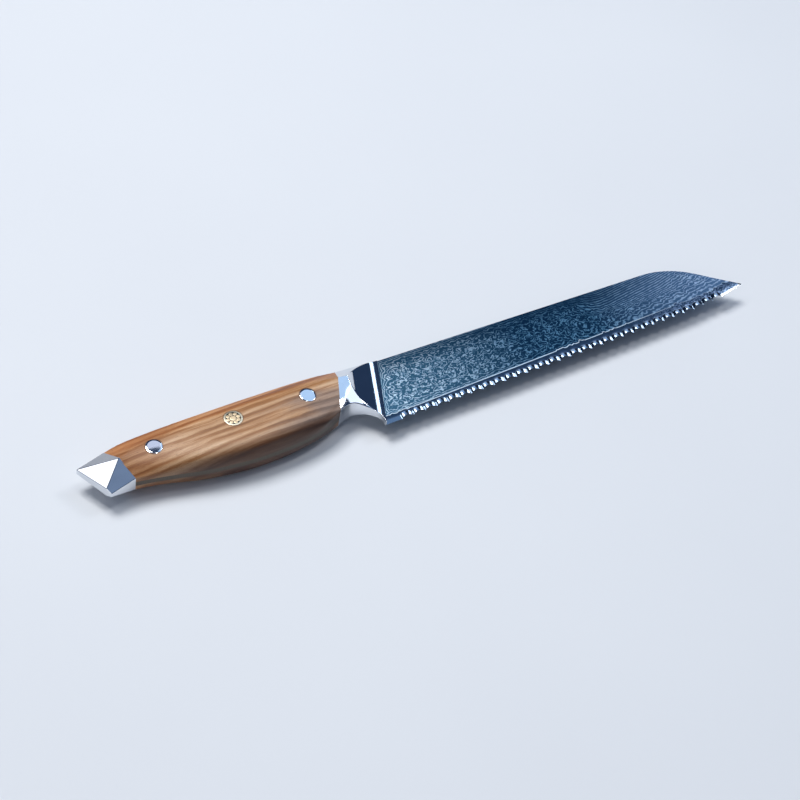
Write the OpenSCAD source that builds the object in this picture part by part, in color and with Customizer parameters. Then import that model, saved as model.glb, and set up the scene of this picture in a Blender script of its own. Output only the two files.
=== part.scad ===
// Bread knife with a laminated, scalloped blade, a faceted full-tang wooden handle and steel fittings.
// The knife lies on its left side. X runs from butt to tip, Y from edge to spine, and Z from left to right.
// The shapes are drawn about the heel corner of the cutting edge, with the blade's middle plane at z = 0,
// and place() moves them so that the origin is under the middle of the knife, on the surface it lies on.

/* [Blade] */
// Length of the cutting edge, from heel to tip
blade_len = 200; // [180:1:240]
// Height of the blade at the heel end of its spine
heel_h = 32.4; // [31:0.1:34]
// Height of the blade where the straight spine would meet the clip
shoulder_h = 25.3; // [23:0.1:28]
// Angle of the clipped point below the blade's axis, in degrees
clip_angle = 41.4; // [36:0.1:48]
// Radius that rounds the spine into the clip
clip_r = 40; // [25:1:50]
// Thickness at the spine
blade_t = 2.2; // [2:0.1:2.6]
// Thickness of the tapered blade at its cutting edge, before sharpening
edge_t = 0.7; // [0.6:0.05:0.8]
// Thickness of the hard core between the two claddings
core_t = 0.84; // [0.82:0.01:1]
// Thickness of the blade's root, ground thinner where it sits in the bolster
root_t = 1.2; // [1.05:0.05:1.25]

/* [Teeth] */
// Number of scallops
teeth = 30; // [24:1:34]
// Plain length of edge at the heel
plain_heel = 8.1; // [5:0.1:12]
// Plain length of edge at the tip
plain_tip = 13.4; // [10:0.1:18]
// Depth of a scallop at the edge
tooth_depth = 1.2; // [0.8:0.1:1.5]
// Width of the tooth left between two scallops
tooth_land = 0.5; // [0.3:0.1:1]
// Angle of the one-sided grind, in degrees
grind_angle = 18; // [15:1:24]

/* [Bolster] */
// Slant of the bolster's front and back, as a shift along the knife for each unit of height
bolster_slant = 0.466; // [0.4:0.01:0.52]
// Length of the bolster along the knife
bolster_len = 21.9; // [20:0.1:24]
// Half thickness of the bolster at its front edge
bolster_lip = 1.45; // [1.4:0.05:1.6]
// Radius of the scoops that thin the bolster down to the blade
scoop_r = 20; // [19:0.5:24]
// Depth of the pockets for the blade's root and the tang's front tongue
pocket_depth = 7; // [5:0.5:8]

/* [Handle] */
// Length of the wooden scales at the reference height
scale_len = 102; // [95:0.1:110]
// Largest half thickness of the handle
handle_half_t = 9.3; // [8.5:0.1:10]
// Thickness of the tang
tang_t = 2.4; // [2:0.1:2.8]
// Slant of both ends of the butt cap
cap_slant = -0.41; // [-0.45:0.01:-0.36]
// Length of the butt cap at the reference height
cap_len = 11.9; // [10:0.1:13]

/* [Pins] */
// Diameter of the solid front and rear pins
pin_d = 7; // [6:0.5:8]
// Diameter of the mosaic pin
mosaic_d = 8; // [7:0.5:8]
// Wall of the mosaic pin's tube
mosaic_wall = 0.7; // [0.6:0.05:0.8]
// Number of small rods in the mosaic pin
mosaic_rods = 8; // [6:1:10]

/* [Hidden] */
dark_steel = [0.2, 0.23, 0.28];
blue_steel = [0.36, 0.42, 0.5];
bright_steel = [0.75, 0.76, 0.78];
plain_steel = [0.62, 0.63, 0.66];
olive_wood = [0.66, 0.45, 0.26];
nickel = [0.72, 0.7, 0.62];
brass = [0.8, 0.68, 0.45];
black_resin = [0.1, 0.1, 0.1];
// Size of cutting shapes that have to pass right through, and what a cut overruns a surface by.
big = 400;
overrun = 5;

// Stations along the handle are measured at this height above the cutting edge.
y_ref = 24;
front_x = bolster_slant * y_ref;
joint_x = front_x - bolster_len;
cap_x = joint_x - scale_len;
butt_x = cap_x - cap_len;

// The handle's outline and section as [fraction of the scale length from bolster to cap, value].
spine_line = [[0, 33], [0.13, 33.6], [0.35, 34.3], [0.6, 34.8], [0.8, 34.9], [0.92, 34.4], [1, 33.2]];
belly_line = [[0, 11.7], [0.08, 8.1], [0.2, 6.5], [0.35, 6.3], [0.5, 6.9], [0.65, 9.3], [0.8, 12.6],
    [0.9, 14.9], [1, 17.2]];
ridge_line = [[0, 25.5], [0.3, 28.5], [0.8, 28.4], [1, 25.9]];
break_rise = [[0, 4], [0.15, 3.2], [0.3, 2.6], [0.65, 2.6], [0.85, 3], [1, 3]];
slant_line = [[0, bolster_slant], [0.1, bolster_slant], [0.5, 0], [0.7, 0], [0.93, cap_slant],
    [1, cap_slant]];
// Half thickness at the ridge and at the break above the belly, as fractions of the largest.
ridge_part = [[0, 0.97], [0.3, 1], [0.7, 0.99], [1, 0.935]];
break_part = [[0, 0.655], [0.1, 0.74], [0.2, 0.89], [0.32, 0.98], [0.6, 0.97], [0.75, 0.88], [0.88, 0.74],
    [1, 0.58]];
// Half thickness at the edges of the spine facet and the belly facet.
spine_half_t = [[0, 3.2], [0.13, 5], [0.35, 5.9], [0.6, 6.4], [0.8, 6.6], [0.92, 6.5], [1, 6]];
belly_half_t = [[0, 5], [0.15, 3.6], [0.4, 3], [1, 3.5]];
// How soft the wood's corners are: crisp at the steel fittings and rounded between them.
softness = [[0, 0], [0.14, 1], [0.84, 1], [1, 0]];

// How far each of a section's corners is cut back, from spine to belly, as [crisp, added when soft].
corner_cut = [[0.4, 0.5], [0.3, 3], [0.3, 5], [0.3, 1.7]];

// The bolster's outline and section as [fraction of the bolster length from wood to blade, value].
notch_line = [[0, 11.7], [0.12, 12.9], [0.26, 13.4], [0.4, 12.7], [0.6, 10.3], [0.78, 7.3], [0.92, 3.9],
    [1, 0]];
bolster_spine = [[0, 33], [0.5, 32.7], [1, heel_h]];
bolster_ridge = [[0, 25.5], [0.3, 24.6], [1, 24.6]];
bolster_spine_t = [[0, 3.2], [0.5, 2.4], [1, 1.6]];
bolster_belly_t = [[0, 5], [0.15, 4.8], [0.35, 4.1], [0.6, 2.7], [0.8, 1.9], [1, 1.6]];

// Corners of the butt cap's end face as [height, half thickness]: top, knee and bottom.
cap_end = [[33.4, 1.3], [18.5, 2.2], [16, 1]];

// Smooth curve through a list of [position, value] points.
function span(p, u, i = 0) = (i >= len(p) - 2 || u <= p[i + 1][0]) ? i : span(p, u, i + 1);
function steepness(p, i) =
    let (a = max(i - 1, 0), b = min(i + 1, len(p) - 1)) (p[b][1] - p[a][1]) / (p[b][0] - p[a][0]);
function curve(p, u) =
    let (i = span(p, u), w = p[i + 1][0] - p[i][0], t = min(max((u - p[i][0]) / w, 0), 1))
    let (a = p[i][1], b = p[i + 1][1], m = steepness(p, i) * w, n = steepness(p, i + 1) * w)
    a + t * (m + t * (3 * (b - a) - 2 * m - n + t * (2 * (a - b) + m + n)));

// Corner c cut back towards its neighbours by a distance d and rounded with a short curve.
corner_steps = 3;
longest_cut = 0.45;
function towards(c, q, d) = c + (q - c) * min(longest_cut, d / norm(q - c));
function rounded(a, c, b, d) =
    let (p = towards(c, a, d), q = towards(c, b, d))
    [for (i = [0:corner_steps]) let (t = i / corner_steps)
        (1 - t) * (1 - t) * p + 2 * t * (1 - t) * c + t * t * q];

// Right half of a handle section, from the spine to the belly, as [height, half thickness] points.
function half_section(top, bottom, ridge, rise, thick, soft) =
    let (p = [[top, 0], [top, thick[0]], [ridge, thick[1]], [bottom + rise, thick[2]], [bottom, thick[3]],
        [bottom, 0]])
    [for (i = [1:4]) let (cut = corner_cut[i - 1])
        each rounded(p[i - 1], p[i], p[i + 1], cut[0] + cut[1] * soft)];
function handle_half(f) = half_section(
    curve(spine_line, f), curve(belly_line, f), curve(ridge_line, f), curve(break_rise, f),
    [curve(spine_half_t, f), handle_half_t * curve(ridge_part, f), handle_half_t * curve(break_part, f),
        curve(belly_half_t, f)],
    curve(softness, f)
);
function bolster_half(f) = [
    [curve(bolster_spine, f), curve(bolster_spine_t, f)],
    [curve(bolster_ridge, f), handle_half_t * ridge_part[0][1]],
    [curve(notch_line, f), curve(bolster_belly_t, f)]
];

// A section's points placed in space at a station, leaning by the slant.
function stand(half, x, slant) = [for (q = half) [x + slant * (q[0] - y_ref), q[0], q[1]]];
function mirrored(ring) = [for (q = reversed(ring)) [q[0], q[1], -q[2]]];
function reversed(list) = [for (i = [len(list) - 1:-1:0]) list[i]];
function flat_at(ring, z) = let (a = ring[0], b = ring[len(ring) - 1])
    concat([[a[0], a[1], z]], ring, [[b[0], b[1], z]]);

handle_steps = 40;
bolster_steps = 24;
handle_rings = [for (i = [0:handle_steps]) let (f = 1 - i / handle_steps)
    stand(handle_half(f), joint_x - f * scale_len, curve(slant_line, f))];
bolster_rings = [for (i = [0:bolster_steps]) let (f = i / bolster_steps)
    stand(bolster_half(f), joint_x + f * bolster_len, bolster_slant)];

// Solid through a row of equal rings, each a closed loop of points.
module loft(rings) {
    n = len(rings[0]);
    last = len(rings) - 1;
    polyhedron(
        points = [for (ring = rings) each ring],
        faces = concat(
            [[for (j = [n - 1:-1:0]) j]],
            [[for (j = [0:n - 1]) last * n + j]],
            [for (i = [0:last - 1], j = [0:n - 1]) let (a = i * n + j, b = i * n + (j + 1) % n) each
                [[a, b, b + n], [a, b + n, a + n]]]
        ),
        convexity = 6
    );
}

// Cutting edge: straight stretches that drop slowly from the heel and turn up to the tip.
tip_y = 1;
edge_line = [for (q = [[0, 0], [0.3, -1.4], [0.6, -2.05], [0.84, -2.2], [0.93, -1], [1, tip_y]])
    [q[0] * blade_len, q[1]]];
stretches = len(edge_line) - 1;
function stretch_angle(i) = let (d = edge_line[i + 1] - edge_line[i]) atan2(d[1], d[0]);
function stretch_at(x) = span(edge_line, x);
function edge_y(x) = lookup(x, edge_line);
// The forged outline runs a little below the edge, and the grinds cut it back to the edge.
edge_stock = 0.6;
edge_points = concat(
    [[-bolster_slant * edge_stock, -edge_stock]],
    [for (i = [1:stretches - 1]) edge_line[i] - [0, edge_stock]],
    [[blade_len - edge_stock, tip_y - 2 * edge_stock]]
);

// Spine and clip: two straight lines joined by an arc that touches both.
spine_x = bolster_slant * heel_h;
shoulder_x = blade_len - (shoulder_h - tip_y) / tan(clip_angle);
spine_angle = atan2(heel_h - shoulder_h, shoulder_x - spine_x);
clip_turn = clip_angle - spine_angle;
clip_run = clip_r * tan(clip_turn / 2);
arc_x = shoulder_x - clip_run * cos(spine_angle) - clip_r * sin(spine_angle);
arc_y = shoulder_h + clip_run * sin(spine_angle) - clip_r * cos(spine_angle);
clip_steps = 12;
clip_points = [for (i = [0:clip_steps]) let (a = 90 - clip_angle + clip_turn * i / clip_steps)
    [arc_x + clip_r * cos(a), arc_y + clip_r * sin(a)]];

// Side of the butt cap: three corners where it meets the wood, then the three of its end face.
function last(p) = p[len(p) - 1][1];
cap_front = [[last(spine_line), last(spine_half_t)], [last(ridge_line), handle_half_t * last(ridge_part)],
    [last(belly_line), last(belly_half_t)]];
cap_side = concat(stand(cap_front, cap_x, cap_slant), stand(cap_end, butt_x, cap_slant));
end_top = cap_side[3];

// The knife's box, which place() centres over the origin.
low_y = min([for (q = edge_line) q[1]]);
high_y = max(concat([end_top[1]], [for (ring = handle_rings, q = ring) q[1]]));
half_z = max([for (ring = handle_rings, q = ring) q[2]]);
module place() {
    translate([-(end_top[0] + blade_len) / 2, -(low_y + high_y) / 2, half_z]) children();
}

// Tongue that stands out of a slanted end between two heights, as points from its top to its bottom.
function tongue(x, slant, heights, len) =
    [for (q = [[0, heights[1]], [len, heights[1]], [len, heights[0]], [0, heights[0]]])
        [x + q[0] + slant * (q[1] - y_ref), q[1]]];
root_heights = [13, 28];
front_tongue_heights = [16, 29];
rear_tongue_heights = [20, 30];

// The blade's outline, and its root, which starts a little inside the blade.
root_lap = 1;
blade_outline = concat(edge_points, [[blade_len, tip_y]], clip_points, [[spine_x, heel_h]]);
blade_root = tongue(front_x + root_lap, bolster_slant, root_heights, -pocket_depth - root_lap);

// The whole laminated blade before it is split into layers: a wedge from spine to edge, and the root.
blade_wedge = [for (q = [[-overrun, edge_t], [0, edge_t], [heel_h, blade_t], [heel_h + overrun, blade_t]])
    [q[0], q[1] / 2]];
module blade_blank() {
    intersection() {
        linear_extrude(2 * blade_t, center = true) polygon(blade_outline);
        rotate([90, 0, 90]) linear_extrude(2 * big, center = true)
            polygon(concat(blade_wedge, [for (q = reversed(blade_wedge)) [q[0], -q[1]]]));
    }
    linear_extrude(root_t, center = true) polygon(blade_root);
}

// Side grinds that leave the sharp edge on the left face.
pitch = (blade_len - plain_heel - plain_tip) / teeth;
scallop_depth = tooth_depth * sin(grind_angle);
scallop_r = (pow((pitch - tooth_land) / 2, 2) / scallop_depth + scallop_depth) / 2;
grind_reach = 15;
module grind_at(x, angle) {
    translate([x, edge_y(x), -edge_t / 2]) rotate([0, 0, angle]) rotate([grind_angle, 0, 0]) children();
}
module plain_grind(i) {
    grind_at(edge_line[i][0], stretch_angle(i)) translate([-big, -grind_reach, 0])
        cube([2 * big, 2 * grind_reach, grind_reach]);
}
module scallop(x) {
    grind_at(x, stretch_angle(stretch_at(x)))
        translate([0, 0, scallop_r - scallop_depth])
        rotate([90, 0, 0]) cylinder(r = scallop_r, h = 2 * grind_reach, center = true, $fn = 96);
}

// The core after its first n grinds: the plain ones along the edge, then the scallops.
module ground(n) {
    if (n == 0) intersection() {
        blade_blank();
        cube([2 * big, 2 * big, core_t], center = true);
    }
    else difference() {
        ground(n - 1);
        if (n <= stretches) plain_grind(n - 1);
        else scallop(plain_heel + (n - stretches - 0.5) * pitch);
    }
}
module blade_core() color(dark_steel) ground(stretches + teeth);

module cladding(side) color(blue_steel) intersection() {
    blade_blank();
    translate([0, 0, side * (core_t / 2 + big / 2)]) cube([2 * big, 2 * big, big], center = true);
}
module cladding_right() cladding(1);
module cladding_left() cladding(-1);

// Tang: the full outline of the handle between the scales, with a tongue at each end.
tongue_len = 7;
front_tongue = tongue(joint_x, bolster_slant, front_tongue_heights, tongue_len);
rear_tongue = tongue(cap_x, cap_slant, rear_tongue_heights, -tongue_len);
function flat(p) = [p[0], p[1]];
module tang() color(plain_steel) difference() {
    linear_extrude(tang_t, center = true) polygon(concat(
        [for (ring = handle_rings) flat(ring[0])],
        front_tongue,
        [for (ring = reversed(handle_rings)) flat(ring[len(ring) - 1])],
        reversed(rear_tongue)
    ));
    pin_bores();
}

module bolster() color(bright_steel) difference() {
    loft([for (ring = bolster_rings) concat(ring, mirrored(ring))]);
    for (side = [1, -1]) {
        translate([0, 0, side * (bolster_lip + scoop_r)])
            rotate([0, 0, -atan(bolster_slant)])
            rotate([90, 0, 0]) cylinder(r = scoop_r, h = big, center = true, $fn = 128);
    }
    linear_extrude(root_t, center = true) polygon(blade_root);
    linear_extrude(tang_t, center = true) polygon(front_tongue);
}

// Pins: front and rear are solid, the middle one is a mosaic.
pin_front_at = [-26.7, 22.7];
pin_mosaic_at = [-61.6, 24.5];
pin_rear_at = [-97.7, 25.6];

// The small rods fill the mosaic tube in one ring around the centre rod, a resin gap apart.
rod_gap = 0.1;
rod_room = mosaic_d / 2 - mosaic_wall - rod_gap;
rod_turn = sin(180 / mosaic_rods);
rod_r = (rod_room * rod_turn - rod_gap / 2) / (1 + rod_turn);
rod_circle_r = rod_room - rod_r;
centre_r = rod_circle_r - rod_r - rod_gap;
module at_pin(p, r) {
    translate([p[0], p[1], 0]) cylinder(r = r, h = big, center = true, $fn = 64);
}
module pin_bores() {
    at_pin(pin_front_at, pin_d / 2);
    at_pin(pin_rear_at, pin_d / 2);
    at_pin(pin_mosaic_at, mosaic_d / 2);
}
// Only what lies inside the handle's surface, so that every pin end is ground flush.
module flush() intersection() {
    children();
    loft([for (ring = handle_rings) concat(ring, mirrored(ring))]);
}
module pin_front() color(bright_steel) flush() at_pin(pin_front_at, pin_d / 2);
module pin_rear() color(bright_steel) flush() at_pin(pin_rear_at, pin_d / 2);
module small_rods() {
    for (i = [0:mosaic_rods - 1]) {
        a = 360 * i / mosaic_rods;
        at_pin(pin_mosaic_at + rod_circle_r * [cos(a), sin(a)], rod_r);
    }
}
module mosaic_tube() color(nickel) flush() difference() {
    at_pin(pin_mosaic_at, mosaic_d / 2);
    at_pin(pin_mosaic_at, mosaic_d / 2 - mosaic_wall);
}
module mosaic_rods() color(brass) flush() small_rods();
module mosaic_centre_rod() color(brass) flush() at_pin(pin_mosaic_at, centre_r);
module mosaic_resin() color(black_resin) flush() difference() {
    at_pin(pin_mosaic_at, mosaic_d / 2 - mosaic_wall);
    small_rods();
    at_pin(pin_mosaic_at, centre_r);
}

// Scales: the right and left halves of the handle outside the tang.
module wood_half() difference() {
    loft([for (ring = handle_rings) flat_at(ring, tang_t / 2)]);
    pin_bores();
}
module scale_right() color(olive_wood) wood_half();
module scale_left() color(olive_wood) mirror([0, 0, 1]) wood_half();

// Butt cap: flat facets from the wood's section down to a thin slanted end.
cap_facets = [[0, 3, 1], [1, 3, 4], [1, 4, 5], [1, 5, 2]];
module butt_cap() color(bright_steel) difference() {
    polyhedron(
        points = concat(cap_side, [for (q = cap_side) [q[0], q[1], -q[2]]]),
        faces = concat(
            [[0, 1, 2, 8, 7, 6], [3, 9, 10, 11, 5, 4], [0, 6, 9, 3], [2, 5, 11, 8]],
            cap_facets,
            [for (t = cap_facets) [t[0] + 6, t[2] + 6, t[1] + 6]]
        )
    );
    linear_extrude(tang_t, center = true) polygon(rear_tongue);
}

place() blade_core();
place() cladding_right();
place() cladding_left();
place() bolster();
place() tang();
place() scale_right();
place() scale_left();
place() pin_front();
place() pin_rear();
place() mosaic_tube();
place() mosaic_rods();
place() mosaic_centre_rod();
place() mosaic_resin();
place() butt_cap();
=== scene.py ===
import math

import bmesh
import bpy
import numpy as np
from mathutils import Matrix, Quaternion, Vector


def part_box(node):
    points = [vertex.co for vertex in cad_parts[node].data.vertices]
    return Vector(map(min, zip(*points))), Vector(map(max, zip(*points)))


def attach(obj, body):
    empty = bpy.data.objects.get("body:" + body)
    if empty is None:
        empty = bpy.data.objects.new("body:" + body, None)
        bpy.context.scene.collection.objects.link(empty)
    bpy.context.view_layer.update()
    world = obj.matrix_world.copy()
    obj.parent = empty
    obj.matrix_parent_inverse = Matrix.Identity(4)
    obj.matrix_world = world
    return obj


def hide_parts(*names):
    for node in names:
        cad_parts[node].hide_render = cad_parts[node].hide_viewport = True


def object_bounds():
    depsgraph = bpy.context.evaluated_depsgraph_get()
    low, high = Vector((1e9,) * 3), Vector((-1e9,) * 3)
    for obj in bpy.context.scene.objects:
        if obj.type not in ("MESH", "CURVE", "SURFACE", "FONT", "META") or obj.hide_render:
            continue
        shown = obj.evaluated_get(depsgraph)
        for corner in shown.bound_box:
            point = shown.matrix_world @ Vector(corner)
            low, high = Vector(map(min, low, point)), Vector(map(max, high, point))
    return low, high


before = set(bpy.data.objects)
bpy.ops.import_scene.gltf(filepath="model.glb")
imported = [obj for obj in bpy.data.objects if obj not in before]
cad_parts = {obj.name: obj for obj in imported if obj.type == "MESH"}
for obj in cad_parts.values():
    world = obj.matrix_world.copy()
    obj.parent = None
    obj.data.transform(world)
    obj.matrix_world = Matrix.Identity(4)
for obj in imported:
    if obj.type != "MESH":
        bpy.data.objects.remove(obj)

CAD_BOX = [list(corner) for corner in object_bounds()]
MM = 0.001
BODY = "root"

# --- Driving dimensions, in millimetres, the same as the CAD's ---
BLADE_LEN = 200
HEEL_H = 32.4
SHOULDER_H = 25.3
CLIP_ANGLE = math.radians(41.4)
CLIP_R = 40
BLADE_T = 2.2
EDGE_T = 0.7
CORE_T = 0.84
TIP_Y = 1
EDGE_LINE = [[0, 0], [0.3, -1.4], [0.6, -2.05], [0.84, -2.2], [0.93, -1], [1, TIP_Y]]
TEETH = 30
PLAIN_HEEL = 8.1
PLAIN_TIP = 13.4
TOOTH_DEPTH = 1.2
TOOTH_LAND = 0.5
GRIND_ANGLE = math.radians(18)
BOLSTER_SLANT = 0.466
BOLSTER_LEN = 21.9
BOLSTER_LIP = 1.45
SCOOP_R = 20
SCALE_LEN = 102
HANDLE_HALF_T = 9.3
TANG_T = 2.4
CAP_SLANT = -0.41
CAP_LEN = 11.9
Y_REF = 24
PIN_R = 3.5
MOSAIC_R = 4
MOSAIC_WALL = 0.7
MOSAIC_RODS = 8
ROD_GAP = 0.1
PIN_FRONT_AT = (-26.7, 22.7)
PIN_MOSAIC_AT = (-61.6, 24.5)
PIN_REAR_AT = (-97.7, 25.6)

ROD_ROOM = MOSAIC_R - MOSAIC_WALL - ROD_GAP
ROD_TURN = math.sin(math.pi / MOSAIC_RODS)
ROD_R = (ROD_ROOM * ROD_TURN - ROD_GAP / 2) / (1 + ROD_TURN)
CENTRE_ROD_R = ROD_ROOM - 2 * ROD_R - ROD_GAP

FRONT_X = BOLSTER_SLANT * Y_REF
JOINT_X = FRONT_X - BOLSTER_LEN
CAP_X = JOINT_X - SCALE_LEN
BUTT_X = CAP_X - CAP_LEN

# The handle, as [fraction of the scale length from bolster to cap, value].
SPINE_LINE = [[0, 33], [0.13, 33.6], [0.35, 34.3], [0.6, 34.8], [0.8, 34.9], [0.92, 34.4], [1, 33.2]]
BELLY_LINE = [[0, 11.7], [0.08, 8.1], [0.2, 6.5], [0.35, 6.3], [0.5, 6.9], [0.65, 9.3], [0.8, 12.6],
              [0.9, 14.9], [1, 17.2]]
RIDGE_LINE = [[0, 25.5], [0.3, 28.5], [0.8, 28.4], [1, 25.9]]
BREAK_RISE = [[0, 4], [0.15, 3.2], [0.3, 2.6], [0.65, 2.6], [0.85, 3], [1, 3]]
SLANT_LINE = [[0, BOLSTER_SLANT], [0.1, BOLSTER_SLANT], [0.5, 0], [0.7, 0], [0.93, CAP_SLANT], [1, CAP_SLANT]]
RIDGE_PART = [[0, 0.97], [0.3, 1], [0.7, 0.99], [1, 0.935]]
BREAK_PART = [[0, 0.655], [0.1, 0.74], [0.2, 0.89], [0.32, 0.98], [0.6, 0.97], [0.75, 0.88], [0.88, 0.74],
              [1, 0.58]]
SPINE_HALF_T = [[0, 3.2], [0.13, 5], [0.35, 5.9], [0.6, 6.4], [0.8, 6.6], [0.92, 6.5], [1, 6]]
BELLY_HALF_T = [[0, 5], [0.15, 3.6], [0.4, 3], [1, 3.5]]
SOFTNESS = [[0, 0], [0.14, 1], [0.84, 1], [1, 0]]
# How far each corner of a section is cut back, as [crisp, added when soft], and the most of a side it takes.
CORNER_CUT = [[0.4, 0.5], [0.3, 3], [0.3, 5], [0.3, 1.7]]
LONGEST_CUT = 0.45

# The bolster, as [fraction of the bolster length from wood to blade, value].
NOTCH_LINE = [[0, 11.7], [0.12, 12.9], [0.26, 13.4], [0.4, 12.7], [0.6, 10.3], [0.78, 7.3], [0.92, 3.9],
              [1, 0]]
BOLSTER_SPINE = [[0, 33], [0.5, 32.7], [1, HEEL_H]]
BOLSTER_RIDGE = [[0, 25.5], [0.3, 24.6], [1, 24.6]]
BOLSTER_SPINE_T = [[0, 3.2], [0.5, 2.4], [1, 1.6]]
BOLSTER_BELLY_T = [[0, 5], [0.15, 4.8], [0.35, 4.1], [0.6, 2.7], [0.8, 1.9], [1, 1.6]]

# Corners of the cap's end face, as [height, half thickness].
CAP_END = [[33.4, 1.3], [18.5, 2.2], [16, 1]]

# The heel corner of the cutting edge in the frame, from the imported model's own boxes.
MIDDLE_Z = (CAD_BOX[0][2] + CAD_BOX[1][2]) / 2
HEEL = np.array([CAD_BOX[1][0] - BLADE_LEN * MM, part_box("bolster")[0].y, MIDDLE_Z])

# --- Finer detail that only the visual model has, in millimetres ---
# How far the pins' ends stand out of the wood, and how flat the steel pins' are ground, from 0 to 1.
PIN_PROUD = 0.04
MOSAIC_PROUD = 0.02
RESIN_PROUD = -0.03
PIN_FLATNESS = 0.75
# The scallops' hollow across their length, as its radius and the height above the edge where it is deepest.
SCALLOP_SAG_R = 25
SCALLOP_DEEPEST = 1
# How far edges are eased.
SPINE_EASE = 0.18
CAP_EASE = 0.22
BOLSTER_EASE = 0.4


# --- Mesh helpers ---
def placed(points):
    """Points in millimetres about the heel, moved into the frame in metres."""
    return HEEL + np.asarray(points, float) * MM


def curve(points, u):
    """Smooth curve through [position, value] points, the same one as the CAD's."""
    x, y = np.array(points, float).T
    u = np.clip(u, x[0], x[-1])
    index = np.arange(len(x))
    before, after = np.maximum(index - 1, 0), np.minimum(index + 1, len(x) - 1)
    slope = (y[after] - y[before]) / (x[after] - x[before])
    i = np.clip(np.searchsorted(x, u) - 1, 0, len(x) - 2)
    w = x[i + 1] - x[i]
    t = (u - x[i]) / w
    m, n, rise = slope[i] * w, slope[i + 1] * w, y[i + 1] - y[i]
    return y[i] + t * (m + t * (3 * rise - 2 * m - n + t * (m + n - 2 * rise)))


def link(name, mesh):
    piece = bpy.data.objects.new(name, mesh)
    bpy.context.scene.collection.objects.link(piece)
    return piece


def finished(mesh, sharp=35, merge=0.002 * MM):
    """Merges coincident points, turns all faces outwards and shades them smooth between sharp edges."""
    work = bmesh.new()
    work.from_mesh(mesh)
    bmesh.ops.remove_doubles(work, verts=work.verts, dist=merge)
    bmesh.ops.dissolve_degenerate(work, edges=work.edges, dist=merge / 2)
    bmesh.ops.recalc_face_normals(work, faces=work.faces)
    work.to_mesh(mesh)
    work.free()
    mesh.polygons.foreach_set("use_smooth", [True] * len(mesh.polygons))
    mesh.set_sharp_from_angle(angle=math.radians(sharp))


def side_faces(rows, around, count):
    """Quads from each of the first rows of points to the next, the last of count rows meeting the first."""
    faces = []
    for i in range(rows):
        for j in range(around):
            here, there = i * around, (i + 1) % count * around
            beside = (j + 1) % around
            faces.append([here + j, here + beside, there + beside, there + j])
    return faces


def loft(name, rings, values=None):
    """Closed solid through equal closed rings; values gives one number per point as the attribute 'rim'."""
    rings = np.asarray(rings, float)
    count, around = rings.shape[:2]
    caps = [list(range(around))[::-1], [(count - 1) * around + j for j in range(around)]]
    mesh = bpy.data.meshes.new(name)
    points = placed(rings).reshape(-1, 3).tolist()
    mesh.from_pydata(points, [], caps + side_faces(count - 1, around, count))
    if values is not None:
        mesh.attributes.new("rim", "FLOAT", "POINT").data.foreach_set("value", np.ravel(values))
    finished(mesh)
    return link(name, mesh)


def cut_away(piece, cutter):
    """Takes the cutter's shape out of the piece."""
    change = piece.modifiers.new("cut", "BOOLEAN")
    change.operation = "DIFFERENCE"
    change.solver = "EXACT"
    change.object = cutter
    shaped = bpy.data.meshes.new_from_object(piece.evaluated_get(bpy.context.evaluated_depsgraph_get()))
    piece.modifiers.clear()
    piece.data = shaped
    bpy.data.objects.remove(cutter)
    finished(shaped)


def along(a, b, steps):
    """Points from a up to but not including b."""
    return [a + (b - a) * i / steps for i in range(steps)]


def set_back(c, a, back):
    """Point that lies back from the corner c on the way to a."""
    return c + (a - c) * min(LONGEST_CUT, back / max(np.linalg.norm(a - c), 1e-9))


def rounded(a, c, b, back, steps):
    """Corner c, cut back towards a and b and rounded, as a short curve."""
    p, q = set_back(c, a, back), set_back(c, b, back)
    return [(1 - t) ** 2 * p + 2 * t * (1 - t) * c + t * t * q for t in np.linspace(0, 1, steps + 1)]


def half_outline(corners, backs, steps, between):
    """Rounded polyline through the corners, with extra points along its straight stretches."""
    points = [corners[0]]
    for i in range(1, len(corners) - 1):
        arc = rounded(corners[i - 1], corners[i], corners[i + 1], backs[i - 1], steps)
        points += along(points[-1], arc[0], between[i - 1])[1:] + arc
    return points


# --- Handle ---
def handle_half(f, steps=8):
    """Right half of the handle's section at a station, from spine to belly, as (height, half thickness)."""
    top, bottom = curve(SPINE_LINE, f), curve(BELLY_LINE, f)
    corners = [np.array(c, float) for c in (
        (top, 0), (top, curve(SPINE_HALF_T, f)), (curve(RIDGE_LINE, f), HANDLE_HALF_T * curve(RIDGE_PART, f)),
        (bottom + curve(BREAK_RISE, f), HANDLE_HALF_T * curve(BREAK_PART, f)),
        (bottom, curve(BELLY_HALF_T, f)), (bottom, 0))]
    soft = curve(SOFTNESS, f)
    return np.array(half_outline(corners, [c + soft * s for c, s in CORNER_CUT], steps, (1, 3, 8, 3)))


def station_at(x, y):
    """Fraction along the handle of the leaning section that a point lies on."""
    f = (JOINT_X - x) / SCALE_LEN
    for _ in range(8):
        f = (JOINT_X + curve(SLANT_LINE, f) * (y - Y_REF) - x) / SCALE_LEN
    return f


def handle_z(x, y):
    """Half thickness of the handle over a point."""
    half = handle_half(station_at(x, y))[::-1]
    return np.interp(y, half[:, 0], half[:, 1])


def stood(half, x, slant):
    """A section's points in space at a station, leaning by the slant."""
    half = np.asarray(half)
    return np.column_stack([x + slant * (half[:, 0] - Y_REF), half[:, 0], half[:, 1]])


def circle(at, r, sides):
    """Points of a circle, as their x and their y."""
    turn = np.linspace(0, 2 * math.pi, sides, endpoint=False)
    return at[0] + r * np.cos(turn), at[1] + r * np.sin(turn)


def cylinder(name, at, r, sides=96):
    """Long cylinder through the handle, to cut a bore."""
    x, y = circle(at, r, sides)
    reach = 3 * HANDLE_HALF_T
    return loft(name, [np.column_stack([x, y, np.full(sides, z)]) for z in (-reach, reach)])


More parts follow.
